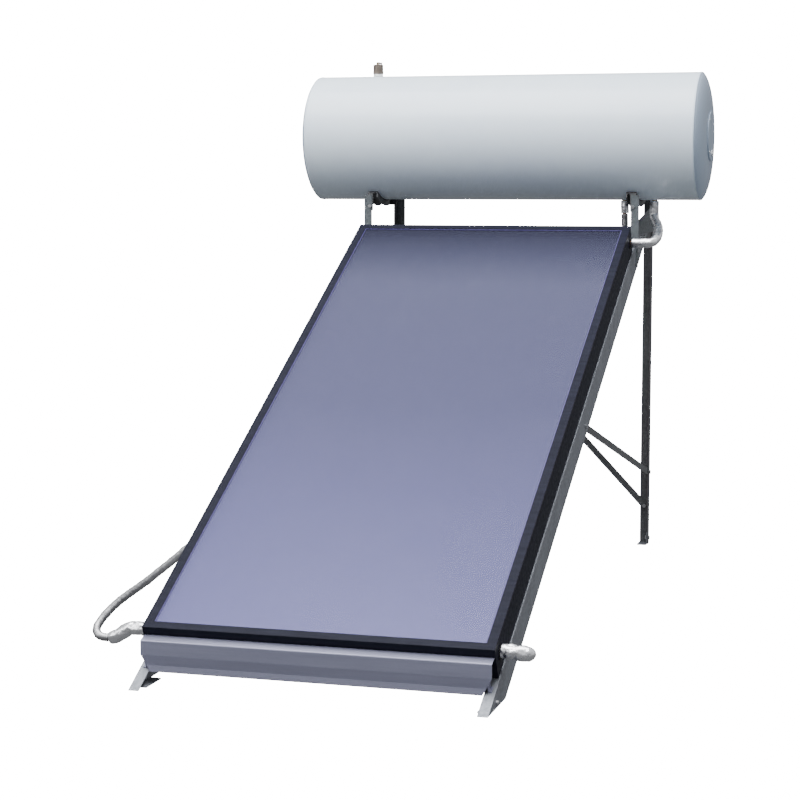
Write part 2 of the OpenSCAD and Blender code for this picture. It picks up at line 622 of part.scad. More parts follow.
module apron_rib() {
    translate([rib_x, 0, 0]) rotate([90, 0, 90]) linear_extrude(apron_t)
        polygon([[98, 132], [79, 125.4], [72.8, 119], [72.8, 86], [75.5, 68], [84, 45], [108, 57],
            [98, 100]]);
    rotate([tilt, 0, 0]) box([rib_x, 96, 0.4], [rib_x + 10, 118, 2.4]);
}
module front_apron() color([0.62, 0.63, 0.68]) site() {
    apron_sheet();
    both_sides() apron_rib();
}

anchor_t = 4;
module anchors() difference() {
    union() {
        box([side_in - 32, 38, 0], [web_in - eps, 142, anchor_t]);
        box([side_in, 38, 0], [web_in - eps, 142, 40]);
        box([side_in - 32, anchor_rear_y - 26, 0], [web_in - eps, leg_back - steel_t - eps, anchor_t]);
        box([side_in, leg_back - leg_w, 0], [web_in - eps, leg_back - steel_t - eps, 45]);
    }
    rotate([tilt, 0, 0]) box([0, -50, -steel_t - 0.5], [side_x, 400, 100]);
    for (y = [anchor_y, anchor_rear_y]) translate([anchor_x, y, -1]) cylinder(r = 5.5, h = 10);
    side_holes();
}
module foot_anchors() color([0.33, 0.34, 0.35]) site() both_sides() anchors();

module bolt(length) {
    translate([0, 0, -length - 6.6]) cylinder(r = bolt_r, h = length + 6.7);
    cylinder(r = bolt_head_r, h = bolt_head_h, $fn = 6);
    translate([0, 0, -length - 6.5]) difference() {
        cylinder(r = bolt_head_r, h = 6.4, $fn = 6);
        translate([0, 0, -1]) cylinder(r = bolt_r - 0.1, h = 9);
    }
}
module stand_bolts() color([0.55, 0.56, 0.58]) {
    site() both_sides() {
        for (j = side_joints) translate([j[3], j[0], j[1]]) rotate([0, 90, 0]) bolt(j[3] - j[2]);
        for (z = [xbar_low, xbar_high]) translate([xbar_x, leg_back, z]) rotate([-90, 0, 0])
            bolt(3 * steel_t + 2 * eps);
        translate([tab_joint[0], bracket_y, tab_joint[1]]) rotate([90, 0, 0]) bolt(2 * steel_t + eps);
    }
    slope() for (x = [-1, 1], s = rail_bolt_s) translate([x * (side_x - 14), s, -steel_t]) {
        cylinder(r = bolt_r, h = 12);
        translate([0, 0, -bolt_head_h]) cylinder(r = bolt_head_r, h = bolt_head_h, $fn = 6);
    }
}

// ---------------------------------------------------------------- loop pipes
port_z = tank_z - tank_r;
function top_exit(d) = [half_w + d, slope_y(top_s, header_n), slope_z(top_s, header_n)];
function low_exit(d) = [-half_w - d, slope_y(low_s, header_n), slope_z(low_s, header_n)];
function below(x, d) = [x, tank_y, port_z - d];
// Routes of the pipe centres: from the collector's top corner to the tank, and from the tank
// diagonally under the collector to its lower corner
hot_route = [top_exit(28), top_exit(43), top_exit(53), [571, 2123, 1162], [585, 2137, 1170],
    [590, 2165, 1184],
    [581, 2238, 1212], [562, 2305, 1230], [551, 2341, 1242], below(flow_x, 50), below(flow_x, 40),
    below(flow_x, 18)];
cold_run = [below(port_x, 50), [port_x, tank_y, 1200], [436, 2348, 1090], [395, 2290, 970],
    [240, 2090, 870], [85, 1890, 770], [-70, 1690, 672], [-230, 1485, 572], [-385, 1285, 473],
    [-540, 1085, 375], [-612, 950, 310], [-636, 760, 252], [-650, 500, 205], [-660, 300, 177],
    [-667, 200, 148], [-666, 158, 126], [-650, 142, 112], [-624, 144, 107]];
cold_tail = [[-620, 145, 107], [-601, 148.5, 113], [-580, 152.5, 127], low_exit(60), low_exit(50),
    low_exit(28)];
along_x = [1, 0, 0];
tube_sides = 12;
module hot_pipe() color("#b87333") site() swept_rod(smooth(hot_route, 4), pipe_r, tube_sides, [0, 0, 1]);
module cold_pipe() color("#b87333") site()
    swept_rod(smooth(concat([below(port_x, 18)], cold_run, cold_tail), 3), pipe_r, tube_sides, along_x);
wrap_bore = 14.2;      // clears the union nuts
module hot_pipe_wrap() color([0.82, 0.83, 0.85]) site()
    swept_sleeve(smooth(concat([top_exit(4)], hot_route, [below(flow_x, 1.5)]), 4),
        hot_wrap_r, wrap_bore, tube_sides, [0, 0, 1]);
module cold_pipe_wrap() color([0.82, 0.83, 0.85]) site()
    swept_sleeve(smooth(cold_run, 3), cold_wrap_r, pipe_r + 0.6, tube_sides, along_x);
// Thicker foil wraps over the two unions of the cold pipe
module joint_wraps() color([0.86, 0.87, 0.88]) site() {
    swept_sleeve(smooth(concat(cold_tail, [low_exit(4)]), 3), 19, wrap_bore, tube_sides, [0, 0, 1]);
    translate(below(port_x, 48)) difference() {
        cylinder(r = 15.2, h = 46.5);
        translate([0, 0, -1]) cylinder(r = wrap_bore, h = 50);
    }
}
// Union with local Z pointing along the pipe, away from what it joins
module union_nut(bore) difference() {
    union() {
        cylinder(r = 13, h = 9, $fn = 6);
        cylinder(r = 12, h = 36);
        translate([0, 0, 27]) cylinder(r = 13, h = 9, $fn = 6);
    }
    translate([0, 0, -1]) cylinder(r = bore, h = 16);
    translate([0, 0, 14]) cylinder(r = pipe_r + 0.1, h = 30);
}
module union_fittings() color("#b08d57") {
    site() for (x = [port_x, flow_x]) translate(below(x, 2)) mirror([0, 0, 1]) union_nut(nipple_r + 0.1);
    header_ends([[1, top_s], [-1, low_s]]) translate([0, 0, 12]) union_nut(header_r + 0.1);
}
plug_r = 21;
plug_l = 94;
plug_straight = 70;    // length before the rounded end
module plug_wrap() color([0.82, 0.83, 0.85]) header_ends([[1, low_s]]) translate([0, 0, 3.4]) difference() {
    rotate_extrude() polygon(concat([[0, 0], [plug_r - 1, 0], [plug_r, 25]],
        [for (a = [0:15:90]) [plug_r * cos(a), plug_straight + (plug_l - plug_straight) * sin(a)]]));
    translate([0, 0, -1]) cylinder(r = 15, h = 33);
}

// ---------------------------------------------------------------- relief spring
spring_turns = 5;
spring_low = seat_z + disc_t + 0.5;
spring_high = roof_z - 0.2;
wire_r = 1;
function spring_point(t) = [7.4 * cos(360 * spring_turns * t), 7.4 * sin(360 * spring_turns * t),
    spring_low + wire_r + (spring_high - spring_low - 2 * wire_r) * t];
module valve_spring() color([0.7, 0.7, 0.72]) valve_frame()
    swept_rod([for (i = [0:70]) spring_point(i / 70)], wire_r, 8, [0, 0, 1]);

// ---------------------------------------------------------------- drawn pieces
tank_jacket();
end_cap_left();
end_cap_right();
tank_insulation();
inner_tank();
hot_outlet_nipple();
cold_inlet_nipple();
loop_ports();
heater_flange();
flange_gasket();
heater_element();
thermostat();
thermostat_dial();
heater_cover();
cover_screws();
anode_rod();
flange_bolts();
cable_gland();
valve_body();
valve_gasket();
valve_lever();
valve_stem();
valve_spring();
lever_pin();
frame_left();
frame_right();
frame_top();
frame_bottom();
glass_cover();
glass_gasket();
absorber_plate();
riser_tubes();
header_top();
header_bottom();
collector_insulation();
back_sheet();
header_grommets();
header_plug();
hot_pipe();
hot_pipe_wrap();
cold_pipe();
cold_pipe_wrap();
plug_wrap();
joint_wraps();
union_fittings();
rail_left();
rail_right();
leg_left();
leg_right();
top_arms();
bracket_left();
bracket_right();
tank_cradles();
cradle_pads();
side_braces();
rear_brace_a();
rear_brace_b();
front_apron();
foot_anchors();
stand_bolts();
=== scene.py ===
import json
import math

import bpy
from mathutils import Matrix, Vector, noise


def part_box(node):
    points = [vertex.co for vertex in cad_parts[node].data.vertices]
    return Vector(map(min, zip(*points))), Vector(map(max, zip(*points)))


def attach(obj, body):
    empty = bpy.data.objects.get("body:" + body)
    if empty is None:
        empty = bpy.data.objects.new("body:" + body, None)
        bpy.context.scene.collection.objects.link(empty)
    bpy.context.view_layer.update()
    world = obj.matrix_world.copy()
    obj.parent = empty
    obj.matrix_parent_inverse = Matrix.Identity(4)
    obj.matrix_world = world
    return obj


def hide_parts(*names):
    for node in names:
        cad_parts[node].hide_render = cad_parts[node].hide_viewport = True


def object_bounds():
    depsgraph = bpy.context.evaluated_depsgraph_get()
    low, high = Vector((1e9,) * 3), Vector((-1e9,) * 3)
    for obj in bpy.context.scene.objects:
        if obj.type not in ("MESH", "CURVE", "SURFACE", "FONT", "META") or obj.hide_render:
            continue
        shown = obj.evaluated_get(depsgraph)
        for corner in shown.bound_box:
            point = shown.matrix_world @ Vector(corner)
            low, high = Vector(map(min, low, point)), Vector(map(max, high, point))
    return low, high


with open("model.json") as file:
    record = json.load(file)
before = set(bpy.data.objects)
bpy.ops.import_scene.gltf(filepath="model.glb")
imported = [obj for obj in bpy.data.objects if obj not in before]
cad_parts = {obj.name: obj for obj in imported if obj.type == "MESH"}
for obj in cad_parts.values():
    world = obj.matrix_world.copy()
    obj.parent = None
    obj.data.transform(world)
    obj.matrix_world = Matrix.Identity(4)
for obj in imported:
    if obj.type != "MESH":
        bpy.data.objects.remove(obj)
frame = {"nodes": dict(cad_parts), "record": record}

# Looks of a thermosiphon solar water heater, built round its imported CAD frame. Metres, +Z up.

CAD_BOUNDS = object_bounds()
MM = 0.001
X_AXIS = Vector((1, 0, 0))
Z_AXIS = Vector((0, 0, 1))


# ---------------------------------------------------------------- places, worked out from the frame
def centre(node):
    low, high = (Vector(corner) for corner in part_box(node))
    return (low + high) / 2


def middle_of(node_a, node_b):
    return (centre(node_a) + centre(node_b)) / 2


MIDDLE_X = middle_of("rail_left", "rail_right").x
FRONT_Y = CAD_BOUNDS[0][1]
TANK_AXIS = centre("tank_jacket")
TANK_R = (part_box("tank_jacket")[1][1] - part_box("tank_jacket")[0][1]) / 2
HALF_W = (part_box("frame_right")[1][0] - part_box("frame_left")[0][0]) / 2
TANK_HALF = (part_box("tank_jacket")[1][0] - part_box("tank_jacket")[0][0]) / 2


def site(x, y, z):
    """A place in millimetres from the middle of the front feet, in the frame's metres."""
    return Vector((MIDDLE_X + x * MM, FRONT_Y + y * MM, z * MM))


def header_exit(node, side, out):
    """A point on a header's axis, out metres outside the collector box."""
    place = centre(node)
    return Vector((MIDDLE_X + side * (HALF_W + out), place.y, place.z))


PORT_R = 10.4 * MM          # outside radius of the tank's two loop ports
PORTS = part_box("loop_ports")
PORT_Z = TANK_AXIS.z - TANK_R
PORT_X = {"cold": PORTS[0][0] + PORT_R, "hot": PORTS[1][0] - PORT_R}


def below_port(which, drop):
    """A point on a loop port's axis, drop millimetres under the tank."""
    return Vector((PORT_X[which], TANK_AXIS.y, PORT_Z - drop * MM))


# ---------------------------------------------------------------- material nodes
class Look:
    """A Principled material, and short ways to add procedural detail to it."""

    def __init__(self, name, colour, roughness, metallic=0.0, **sockets):
        self.material = bpy.data.materials.new(name)
        self.material.use_nodes = True
        self.nodes = self.material.node_tree.nodes
        self.links = self.material.node_tree.links
        self.shader = self.nodes["Principled BSDF"]
        self.colour = colour
        self.roughness = roughness
        self.shader.inputs["Base Color"].default_value = (*colour, 1)
        self.shader.inputs["Roughness"].default_value = roughness
        self.shader.inputs["Metallic"].default_value = metallic
        for socket, value in sockets.items():
            self.shader.inputs[socket.replace("_", " ")].default_value = value
        self.place = self.nodes.new("ShaderNodeTexCoord").outputs["Object"]
        self.height = None

    def stretched(self, scale):
        node = self.nodes.new("ShaderNodeMapping")
        node.inputs["Scale"].default_value = scale
        self.links.new(self.place, node.inputs["Vector"])
        return node.outputs["Vector"]

    def noise(self, scale, detail=4, rough=0.55, stretch=(1, 1, 1), twist=0.0):
        node = self.nodes.new("ShaderNodeTexNoise")
        node.inputs["Scale"].default_value = scale
        node.inputs["Detail"].default_value = detail
        node.inputs["Roughness"].default_value = rough
        node.inputs["Distortion"].default_value = twist
        self.links.new(self.stretched(stretch), node.inputs["Vector"])
        return node.outputs["Fac"]

    def cells(self, scale, feature="F1", output="Distance", stretch=(1, 1, 1)):
        node = self.nodes.new("ShaderNodeTexVoronoi")
        node.feature = feature
        node.inputs["Scale"].default_value = scale
        self.links.new(self.stretched(stretch), node.inputs["Vector"])
        return node.outputs[output]

    def ramp(self, factor, *stops):
        """Stops are (position, value), where a value is a grey or a colour."""
        node = self.nodes.new("ShaderNodeValToRGB")
        elements = node.color_ramp.elements
        while len(elements) < len(stops):
            elements.new(0.5)
        for element, (position, value) in zip(elements, stops):
            element.position = position
            element.color = (value, value, value, 1) if isinstance(value, float) else (*value, 1)
        self.links.new(factor, node.inputs["Fac"])
        return node.outputs["Color"]

    def mix(self, factor, a, b, blend="MIX"):
        node = self.nodes.new("ShaderNodeMix")
        node.data_type = "RGBA"
        node.blend_type = blend
        for socket, value in (("Factor_Float", factor), ("A_Color", a), ("B_Color", b)):
            target = next(i for i in node.inputs if i.identifier == socket)
            if hasattr(value, "is_linked"):
                self.links.new(value, target)
            else:
                target.default_value = value
        return next(o for o in node.outputs if o.identifier == "Result_Color")

    def paint(self, output):
        self.links.new(output, self.shader.inputs["Base Color"])

    def gloss(self, output):
        self.links.new(output, self.shader.inputs["Roughness"])

    def bump(self, output, strength, distance):
        node = self.nodes.new("ShaderNodeBump")
        node.inputs["Strength"].default_value = strength
        node.inputs["Distance"].default_value = distance
        self.links.new(output, node.inputs["Height"])
        if self.height:
            self.links.new(self.height, node.inputs["Normal"])
        self.height = node.outputs["Normal"]
        self.links.new(self.height, self.shader.inputs["Normal"])

    def shade(self, amount):
        """The base colour, lighter or darker by a factor."""
        return tuple(min(1.0, c * amount) for c in self.colour)

    def mottle(self, scale, spread, stretch=(1, 1, 1)):
        """Base colour that wanders a little over the surface."""
        fac = self.noise(scale, 5, stretch=stretch)
        self.paint(self.ramp(fac, (0.3, self.shade(1 - spread)), (0.7, self.shade(1 + spread))))

    def wander(self, scale, spread, stretch=(1, 1, 1)):
        """Roughness that wanders by spread either way."""
        fac = self.noise(scale, 6, stretch=stretch)
        low, high = self.roughness - spread, self.roughness + spread
        self.gloss(self.ramp(fac, (0.3, float(max(0.02, low))), (0.7, float(min(1.0, high)))))


def paint_look(name, colour, roughness, coat=0.3):
    """Sprayed enamel: orange peel, faint dust in the colour, wandering gloss."""
    look = Look(name, colour, roughness, Coat_Weight=coat, Coat_Roughness=0.12)
    look.mottle(6, 0.03)
    look.wander(40, 0.06)
    look.bump(look.noise(900, 2), 0.06, 0.0004)
    look.bump(look.noise(5, 2), 0.05, 0.002)
    return look.material


def metal_look(name, colour, roughness, grain=(1, 1, 1), spread=0.12, metallic=1.0, bump=0.15,
               shine=0.5):
    """Rolled or drawn metal with grain along one axis."""
    look = Look(name, colour, roughness, metallic, Specular_IOR_Level=shine)
    look.mottle(60, spread, stretch=grain)
    look.wander(90, 0.1, stretch=grain)
    look.bump(look.noise(400, 3, stretch=grain), bump, 0.0003)
    return look.material


def galvanised_look(name, colour, roughness, spangle=0.16):
    """Zinc: irregular crystal patches, light drips and a dull bloom."""
    look = Look(name, colour, roughness, 0.65)
    crystals = 130
    patches = look.cells(crystals, output="Color")
    tone = look.ramp(patches, (0.1, look.shade(1 - spangle)), (0.9, look.shade(1 + spangle)))
    bloom = look.ramp(look.noise(14, 6, stretch=(1, 1, 0.4)), (0.42, 0.0), (0.75, 0.55))
    look.paint(look.mix(bloom, tone, (*look.shade(1.35), 1)))
    dull, duller = float(roughness - 0.1), float(roughness + 0.12)
    look.gloss(look.ramp(look.cells(crystals), (0.0, dull), (0.8, duller)))
    look.bump(look.cells(crystals), 0.12, 0.0004)
    look.bump(look.noise(700, 3), 0.12, 0.0003)
    return look.material


def foil_look(name, colour, roughness=0.30):
    """Aluminium tape, crushed into small plates."""
    look = Look(name, colour, roughness, 1.0)
    look.mottle(30, 0.07)
    look.wander(90, 0.08)
    look.bump(look.cells(75, "DISTANCE_TO_EDGE"), 0.30, 0.0022)
    look.bump(look.noise(190, 3, twist=0.5), 0.16, 0.0010)
    return look.material


def plastic_look(name, colour, roughness):
    """Moulded plastic or rubber with a fine grain."""
    look = Look(name, colour, roughness)
    look.mottle(30, 0.05)
    look.wander(120, 0.06)
    look.bump(look.cells(900), 0.1, 0.0002)
    return look.material


def foam_look(name, colour, scale):
    """Foam or wool: open cells, scale per metre."""
    look = Look(name, colour, 0.95)
    look.mottle(40, 0.15)
    look.wander(60, 0.04)
    look.bump(look.cells(scale), 0.6, 0.001)
    return look.material


def slope_distance(look):
    """0 at the collector's foot, 1 at its top: the height, from the look's own coordinates."""
    low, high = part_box("glass_cover")
    split = look.nodes.new("ShaderNodeSeparateXYZ")
    look.links.new(look.place, split.inputs["Vector"])
    scale = look.nodes.new("ShaderNodeMapRange")
    scale.inputs["From Min"].default_value = low[2]
    scale.inputs["From Max"].default_value = high[2]
    look.links.new(split.outputs["Z"], scale.inputs["Value"])
    return scale.outputs["Result"]


def absorber_look():
    """Selective coating: blue-violet, with painted shade that darkens it towards the top, and weld
    lines over the risers.
    """
    look = Look("absorber", (0.18, 0.18, 0.30), 0.42, 0.35)
    # painted shade: the colour darkens up the slope, nearly black at the top end
    up = look.ramp(slope_distance(look), (0.0, (0.14, 0.14, 0.34)),
                   (0.45, (0.085, 0.088, 0.19)), (0.82, (0.085, 0.088, 0.155)),
                   (1.0, (0.02, 0.021, 0.034)))
    cloud = look.ramp(look.noise(2.2, 5), (0.35, 0.93), (0.7, 1.0))
    look.paint(look.mix(1.0, up, cloud, "MULTIPLY"))
    look.wander(25, 0.05)
    wave = look.nodes.new("ShaderNodeTexWave")
    wave.inputs["Scale"].default_value = 1.25
    look.links.new(look.place, wave.inputs["Vector"])
    look.bump(wave.outputs["Fac"], 0.03, 0.002)
    return look.material


def glass_look():
    """Matt solar glass: a thin violet veil over what is behind it, with painted shade that darkens it
    towards the top.
    """
    look = Look("glass", (0.30, 0.31, 0.48), 0.3, 0.0, Alpha=0.5, IOR=1.5, Specular_IOR_Level=0.35)
    # painted shade: the veil's colour darkens up the slope, nearly black at the top end
    up = look.ramp(slope_distance(look), (0.0, (0.165, 0.163, 0.38)),
                   (0.5, (0.098, 0.10, 0.205)), (0.82, (0.092, 0.094, 0.18)),
                   (1.0, (0.030, 0.031, 0.055)))
    look.paint(up)
    look.wander(9, 0.04)
    look.bump(look.noise(2.5, 1), 0.04, 0.002)
    look.material.surface_render_method = "BLENDED"
    return look.material


LOOKS = {
    "jacket_paint": paint_look("jacket_paint", (0.77, 0.88, 1.0), 0.36),
    # cap_paint is the jacket's white paint made darker and bluer as painted shade, for the end caps
    # that face away from the light
    "cap_paint": paint_look("cap_paint", (0.42, 0.52, 0.66), 0.40),
    # cover_plastic is the cover's white plastic darkened to the end caps' tone as painted shade
    "cover_plastic": plastic_look("cover_plastic", (0.44, 0.54, 0.67), 0.38),
    "vessel_enamel": paint_look("vessel_enamel", (0.05, 0.09, 0.22), 0.2, 0.6),
    "foam": foam_look("foam", (0.78, 0.66, 0.38), 700),
    "wool": foam_look("wool", (0.62, 0.48, 0.18), 300),
    "brass": metal_look("brass", (0.66, 0.48, 0.22), 0.35),
    "black_plastic": plastic_look("black_plastic", (0.022, 0.022, 0.026), 0.42),
    "rubber": plastic_look("rubber", (0.018, 0.018, 0.02), 0.7),
    "zinc_steel": metal_look("zinc_steel", (0.52, 0.53, 0.55), 0.34),
    "element_sheath": metal_look("element_sheath", (0.40, 0.27, 0.19), 0.42),
    "dial_plastic": plastic_look("dial_plastic", (0.50, 0.03, 0.02), 0.35),
    "anode_metal": metal_look("anode_metal", (0.50, 0.50, 0.48), 0.6),
    "white_plastic": plastic_look("white_plastic", (0.80, 0.81, 0.84), 0.35),
    "valve_bronze": metal_look("valve_bronze", (0.23, 0.19, 0.16), 0.5, bump=0.4),
    "valve_lever": plastic_look("valve_lever", (0.10, 0.09, 0.09), 0.45),
    "washer": plastic_look("washer", (0.80, 0.80, 0.78), 0.6),
    "frame_black": metal_look("frame_black", (0.013, 0.014, 0.024), 0.5, (0.15, 1, 1),
                              spread=0.2, metallic=0.0, bump=0.06, shine=0.06),
    "glass": glass_look(),
    "absorber": absorber_look(),
    "copper": metal_look("copper", (0.68, 0.32, 0.18), 0.38),
    "sheet_metal": metal_look("sheet_metal", (0.60, 0.61, 0.64), 0.4, (0.1, 1, 1)),
    "apron_metal": metal_look("apron_metal", (0.245, 0.25, 0.345), 0.46, (0.05, 1, 1),
                              spread=0.06, metallic=0.35, bump=0.08),
    "foil": foil_look("foil", (0.90, 0.905, 0.93)),
    "foil_dull": foil_look("foil_dull", (0.38, 0.38, 0.39), 0.45),
    "glass_seal": plastic_look("glass_seal", (0.06, 0.05, 0.17), 0.55),
    "rail_steel": galvanised_look("rail_steel", (0.25, 0.265, 0.295), 0.52),
    "leg_steel": galvanised_look("leg_steel", (0.15, 0.155, 0.163), 0.55),
    "bracket_steel": galvanised_look("bracket_steel", (0.155, 0.175, 0.19), 0.5),
}


def dress_frame():
    """Gives each CAD node the look of its material slot."""
    for part in frame["record"]["subparts"]:
        piece = frame["nodes"][part["node"]]
        piece.data.materials.clear()
        piece.data.materials.append(LOOKS[part["material_slot"]])


# ---------------------------------------------------------------- mesh helpers
def new_piece(name, verts, faces, look):
    """A smooth mesh that rides on the root body, with the look of its material slot."""
    mesh = bpy.data.meshes.new(name)
    mesh.from_pydata([tuple(v) for v in verts], [], faces)
    mesh.update()
    mesh.shade_smooth()
    mesh.materials.append(LOOKS[look])
    piece = bpy.data.objects.new(name, mesh)
    bpy.context.scene.collection.objects.link(piece)
    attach(piece, "root")
    return piece


def catmull(a, b, c, d, t):
    """A point at t on the smooth curve from b to c, with a and d as its neighbours."""
    return 0.5 * ((2 * b) + (c - a) * t + (2 * a - 5 * b + 4 * c - d) * t * t
                  + (3 * b - a - 3 * c + d) * t ** 3)


def along(route, step):
    """Evenly spaced points on a smooth curve through the route's points."""
    fine = 24
    last = len(route) - 1
    dense = []
    for i in range(last):
        near = (route[max(i - 1, 0)], route[i], route[i + 1], route[min(i + 2, last)])
        dense += [catmull(*near, k / fine) for k in range(fine)]
    dense.append(route[-1])
    points = [dense[0]]
    spare = 0.0
    for p, q in zip(dense, dense[1:]):
        length = (q - p).length
        while spare + length >= step:
            p = p + (q - p) * ((step - spare) / length)
            length = (q - p).length
            spare = 0.0
            points.append(p.copy())
            if length < 1e-9:
                break
        spare += length
    points[-1] = route[-1].copy()
    return points


def band(low, high, sides):
    """The faces between two rings of points, given the first point of each."""
    return [(low + k, low + (k + 1) % sides, high + (k + 1) % sides, high + k)
            for k in range(sides)]


def ring_faces(rings, sides, closed=True):
    """The faces of a tube, with flat ends if closed."""
    faces = [face for i in range(rings - 1) for face in band(i * sides, (i + 1) * sides, sides)]
    if closed:
        faces.append(tuple(reversed(range(sides))))
        faces.append(tuple((rings - 1) * sides + k for k in range(sides)))
    return faces


PLATES = ((0.034, 0.74), (0.013, 0.26))     # sizes of crushed foil's flat plates, and their shares
PLATE_EDGE = 0.55                           # how far a crease reaches into a plate
RIPPLE = 0.0006                             # height of the fine ripple over the plates
RIPPLES = 60                                # and its scale, per metre


def crumple(place, amount):
    """Height of crushed foil at a place: flat plates between sharp creases, at two sizes."""
    height = 0.0
    for size, share in PLATES:
        near, _ = noise.voronoi(place / size)
        height += share * min(near[1] - near[0], PLATE_EDGE) / PLATE_EDGE
    return amount * (height - 0.5)


def foil_tube(name, node, route, radius, amount, step=0.0028, sides=44, pitch=0.045, look="foil"):
    """A pipe wrapped in foil tape: a swept tube with spiral laps, crushed all over.

    radius is a function of the length from its start and the whole length.
    """
    lap = 0.0005
    points = along(route, step)
    whole = step * (len(points) - 1)
    side = Vector((0.3, 0.2, 1)).normalized()
    verts = []
    for i, point in enumerate(points):
        heading = (points[min(i + 1, len(points) - 1)] - points[max(i - 1, 0)]).normalized()
        side = (side - heading * side.dot(heading)).normalized()
        other = heading.cross(side)
        run = i * step
        for k in range(sides):
            turn = 2 * math.pi * k / sides
            out = side * math.cos(turn) + other * math.sin(turn)
            r = radius(run, whole)
            skin = point + out * r
            spiral = (run / pitch + k / sides) % 1.0
            r += lap * (1 - spiral) + crumple(skin, amount)
            r += RIPPLE * noise.noise(skin * RIPPLES)
            verts.append(point + out * r)
    piece = new_piece(name, verts, ring_faces(len(points), sides), look)
    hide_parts(node)


def lathe(name, outline, base, axis, look, sides):
    """Turns a closed outline of (along, radius) pairs about an axis through base."""
    spin = Z_AXIS.rotation_difference(axis).to_matrix()
    verts = [base + spin @ Vector((r * math.cos(a), r * math.sin(a), z))
             for z, r in outline for a in (2 * math.pi * k / sides for k in range(sides))]
    count = len(outline)
    faces = [face for i in range(count)
             for face in band(i * sides, (i + 1) % count * sides, sides)]
    new_piece(name, verts, faces, look)


def thread(name, base, axis, r, length, look):
    """A threaded sleeve from base along axis: a helical ridge with a run-out at both ends."""
    spin = Z_AXIS.rotation_difference(axis).to_matrix()
    pitch, depth, skin = 0.0018, 0.0009, 0.00005
    per_turn, sides = 8, 48
    rings = int(length / pitch * per_turn) + 1
    verts = []
    for i in range(rings):
        z = length * i / (rings - 1)
        fade = min(1.0, z / pitch, (length - z) / pitch)
        for k in range(sides):
            phase = (z / pitch - k / sides) % 1.0
            ridge = 1 - abs(2 * phase - 1)
            radius = r + skin + depth * fade * ridge
            a = 2 * math.pi * k / sides
            verts.append(base + spin @ Vector((radius * math.cos(a), radius * math.sin(a), z)))
    new_piece(name, verts, ring_faces(rings, sides, closed=False), look)


# ---------------------------------------------------------------- foil-wrapped pipes
def constant(r):
    """A radius that stays the same along a wrap."""
    return lambda run, whole: r


def gathered(r, start, end, inner=0.012):
    """Radius that draws in over the given lengths at the two ends, as squeezed foil does."""
    def radius(run, whole):
        a = min(1.0, run / start) if start else 1.0
        b = min(1.0, (whole - run) / end) if end else 1.0
        return inner + (r - inner) * math.sqrt(max(0.0, min(a, b) * (2 - min(a, b))))
    return radius


def mm_route(points):
    """The CAD route's listed points as places in the frame."""
    return [site(*p) for p in points]


def hot_wrap():
    """From the collector's top corner, out and up to the tank's hot port."""
    corner = mm_route([(571, 2123, 1162), (585, 2137, 1170), (590, 2165, 1184),
                       (581, 2238, 1212), (562, 2305, 1230), (551, 2341, 1242)])
    route = [header_exit("header_top", 1, d * MM) for d in (4, 28, 43, 53)]
    route += corner + [below_port("hot", d) for d in (50, 40, 18, 1.5)]
    radius = gathered(0.0172, start=0.012, end=0.006, inner=0.0142)
    foil_tube("hot_pipe_foil", "hot_pipe_wrap", route, radius, amount=0.0026, pitch=0.03)


def cold_wrap():
    """From the tank's cold port, diagonally under the collector, to its lower left corner."""
    run = [(436, 2348, 1090), (395, 2290, 970), (240, 2090, 870), (85, 1890, 770), (-70, 1690, 672),
           (-230, 1485, 572), (-385, 1285, 473), (-540, 1085, 375), (-612, 950, 310), (-636, 760, 252),
           (-650, 500, 205), (-660, 300, 177), (-667, 200, 148), (-666, 158, 126), (-650, 142, 112),
           (-624, 144, 107)]
    drop_z = 1.2                # height at which the pipe turns away under the collector
    top = [below_port("cold", 50), Vector((PORT_X["cold"], TANK_AXIS.y, drop_z))]
    foil_tube("cold_pipe_foil", "cold_pipe_wrap", top + mm_route(run), constant(0.0122),
              amount=0.0017, step=0.0036, sides=32, pitch=0.05, look="foil_dull")
    tail = mm_route([(-623, 144.5, 106.5), (-601, 148.5, 112), (-580, 152.5, 125)])
    tail += [header_exit("header_bottom", -1, d * MM) for d in (60, 50, 28, 4)]
    radius = gathered(0.0200, start=0.020, end=0.010, inner=0.013)
    foil_tube("lower_joint_foil", "joint_wraps", tail, radius, amount=0.0036, step=0.0022, sides=56)
    port = [below_port("cold", d) for d in (48, 32, 16, 1.5)]
    foil_tube("port_joint_foil", "joint_wraps", port, constant(0.0150),
              amount=0.0018, step=0.0022, sides=40, pitch=0.03)


def plug_foil():
    """Foil bunched over the plugged end, with a blunt rounded tip."""
    start, end = (header_exit("header_bottom", 1, d) for d in (0.0036, 0.0975))
    start.z += 0.005           # the foil sags a little from the box to its tip
    middle = [start.lerp(end, t) for t in (0, 0.25, 0.5, 0.75, 1)]
    full = 0.7                 # share of the length before the rounded tip
    tip = 1.003                # where the rounding closes, just past the end
    root_r, swell = 0.0205, 0.001
    tip_r, least_r = 0.0215, 0.0012

    def bullet(run, whole):
        t = run / whole
        if t < full:
            return root_r + swell * t / full
        return max(least_r, tip_r * math.sqrt(max(0.0, 1 - ((t - full) / (tip - full)) ** 2)))

    foil_tube("plug_foil", "plug_wrap", middle, bullet,
              amount=0.0030, step=0.0018, sides=64, pitch=0.06)


# ---------------------------------------------------------------- small metalwork
def cap_beads():
    """The rolled edge where each end cap is crimped into the jacket."""
    half, flat, sunk = 0.0020, 0.8, 0.0006
    from_end = 0.004
    corners = 14
    outline = [(half * math.cos(a), TANK_R - sunk + half * flat * math.sin(a))
               for a in (2 * math.pi * i / corners for i in range(corners))]
    for name, side in (("cap_bead_left", -1), ("cap_bead_right", 1)):
        base = TANK_AXIS + side * (TANK_HALF - from_end) * X_AXIS
        lathe(name, outline, base, X_AXIS, "jacket_paint", 192)


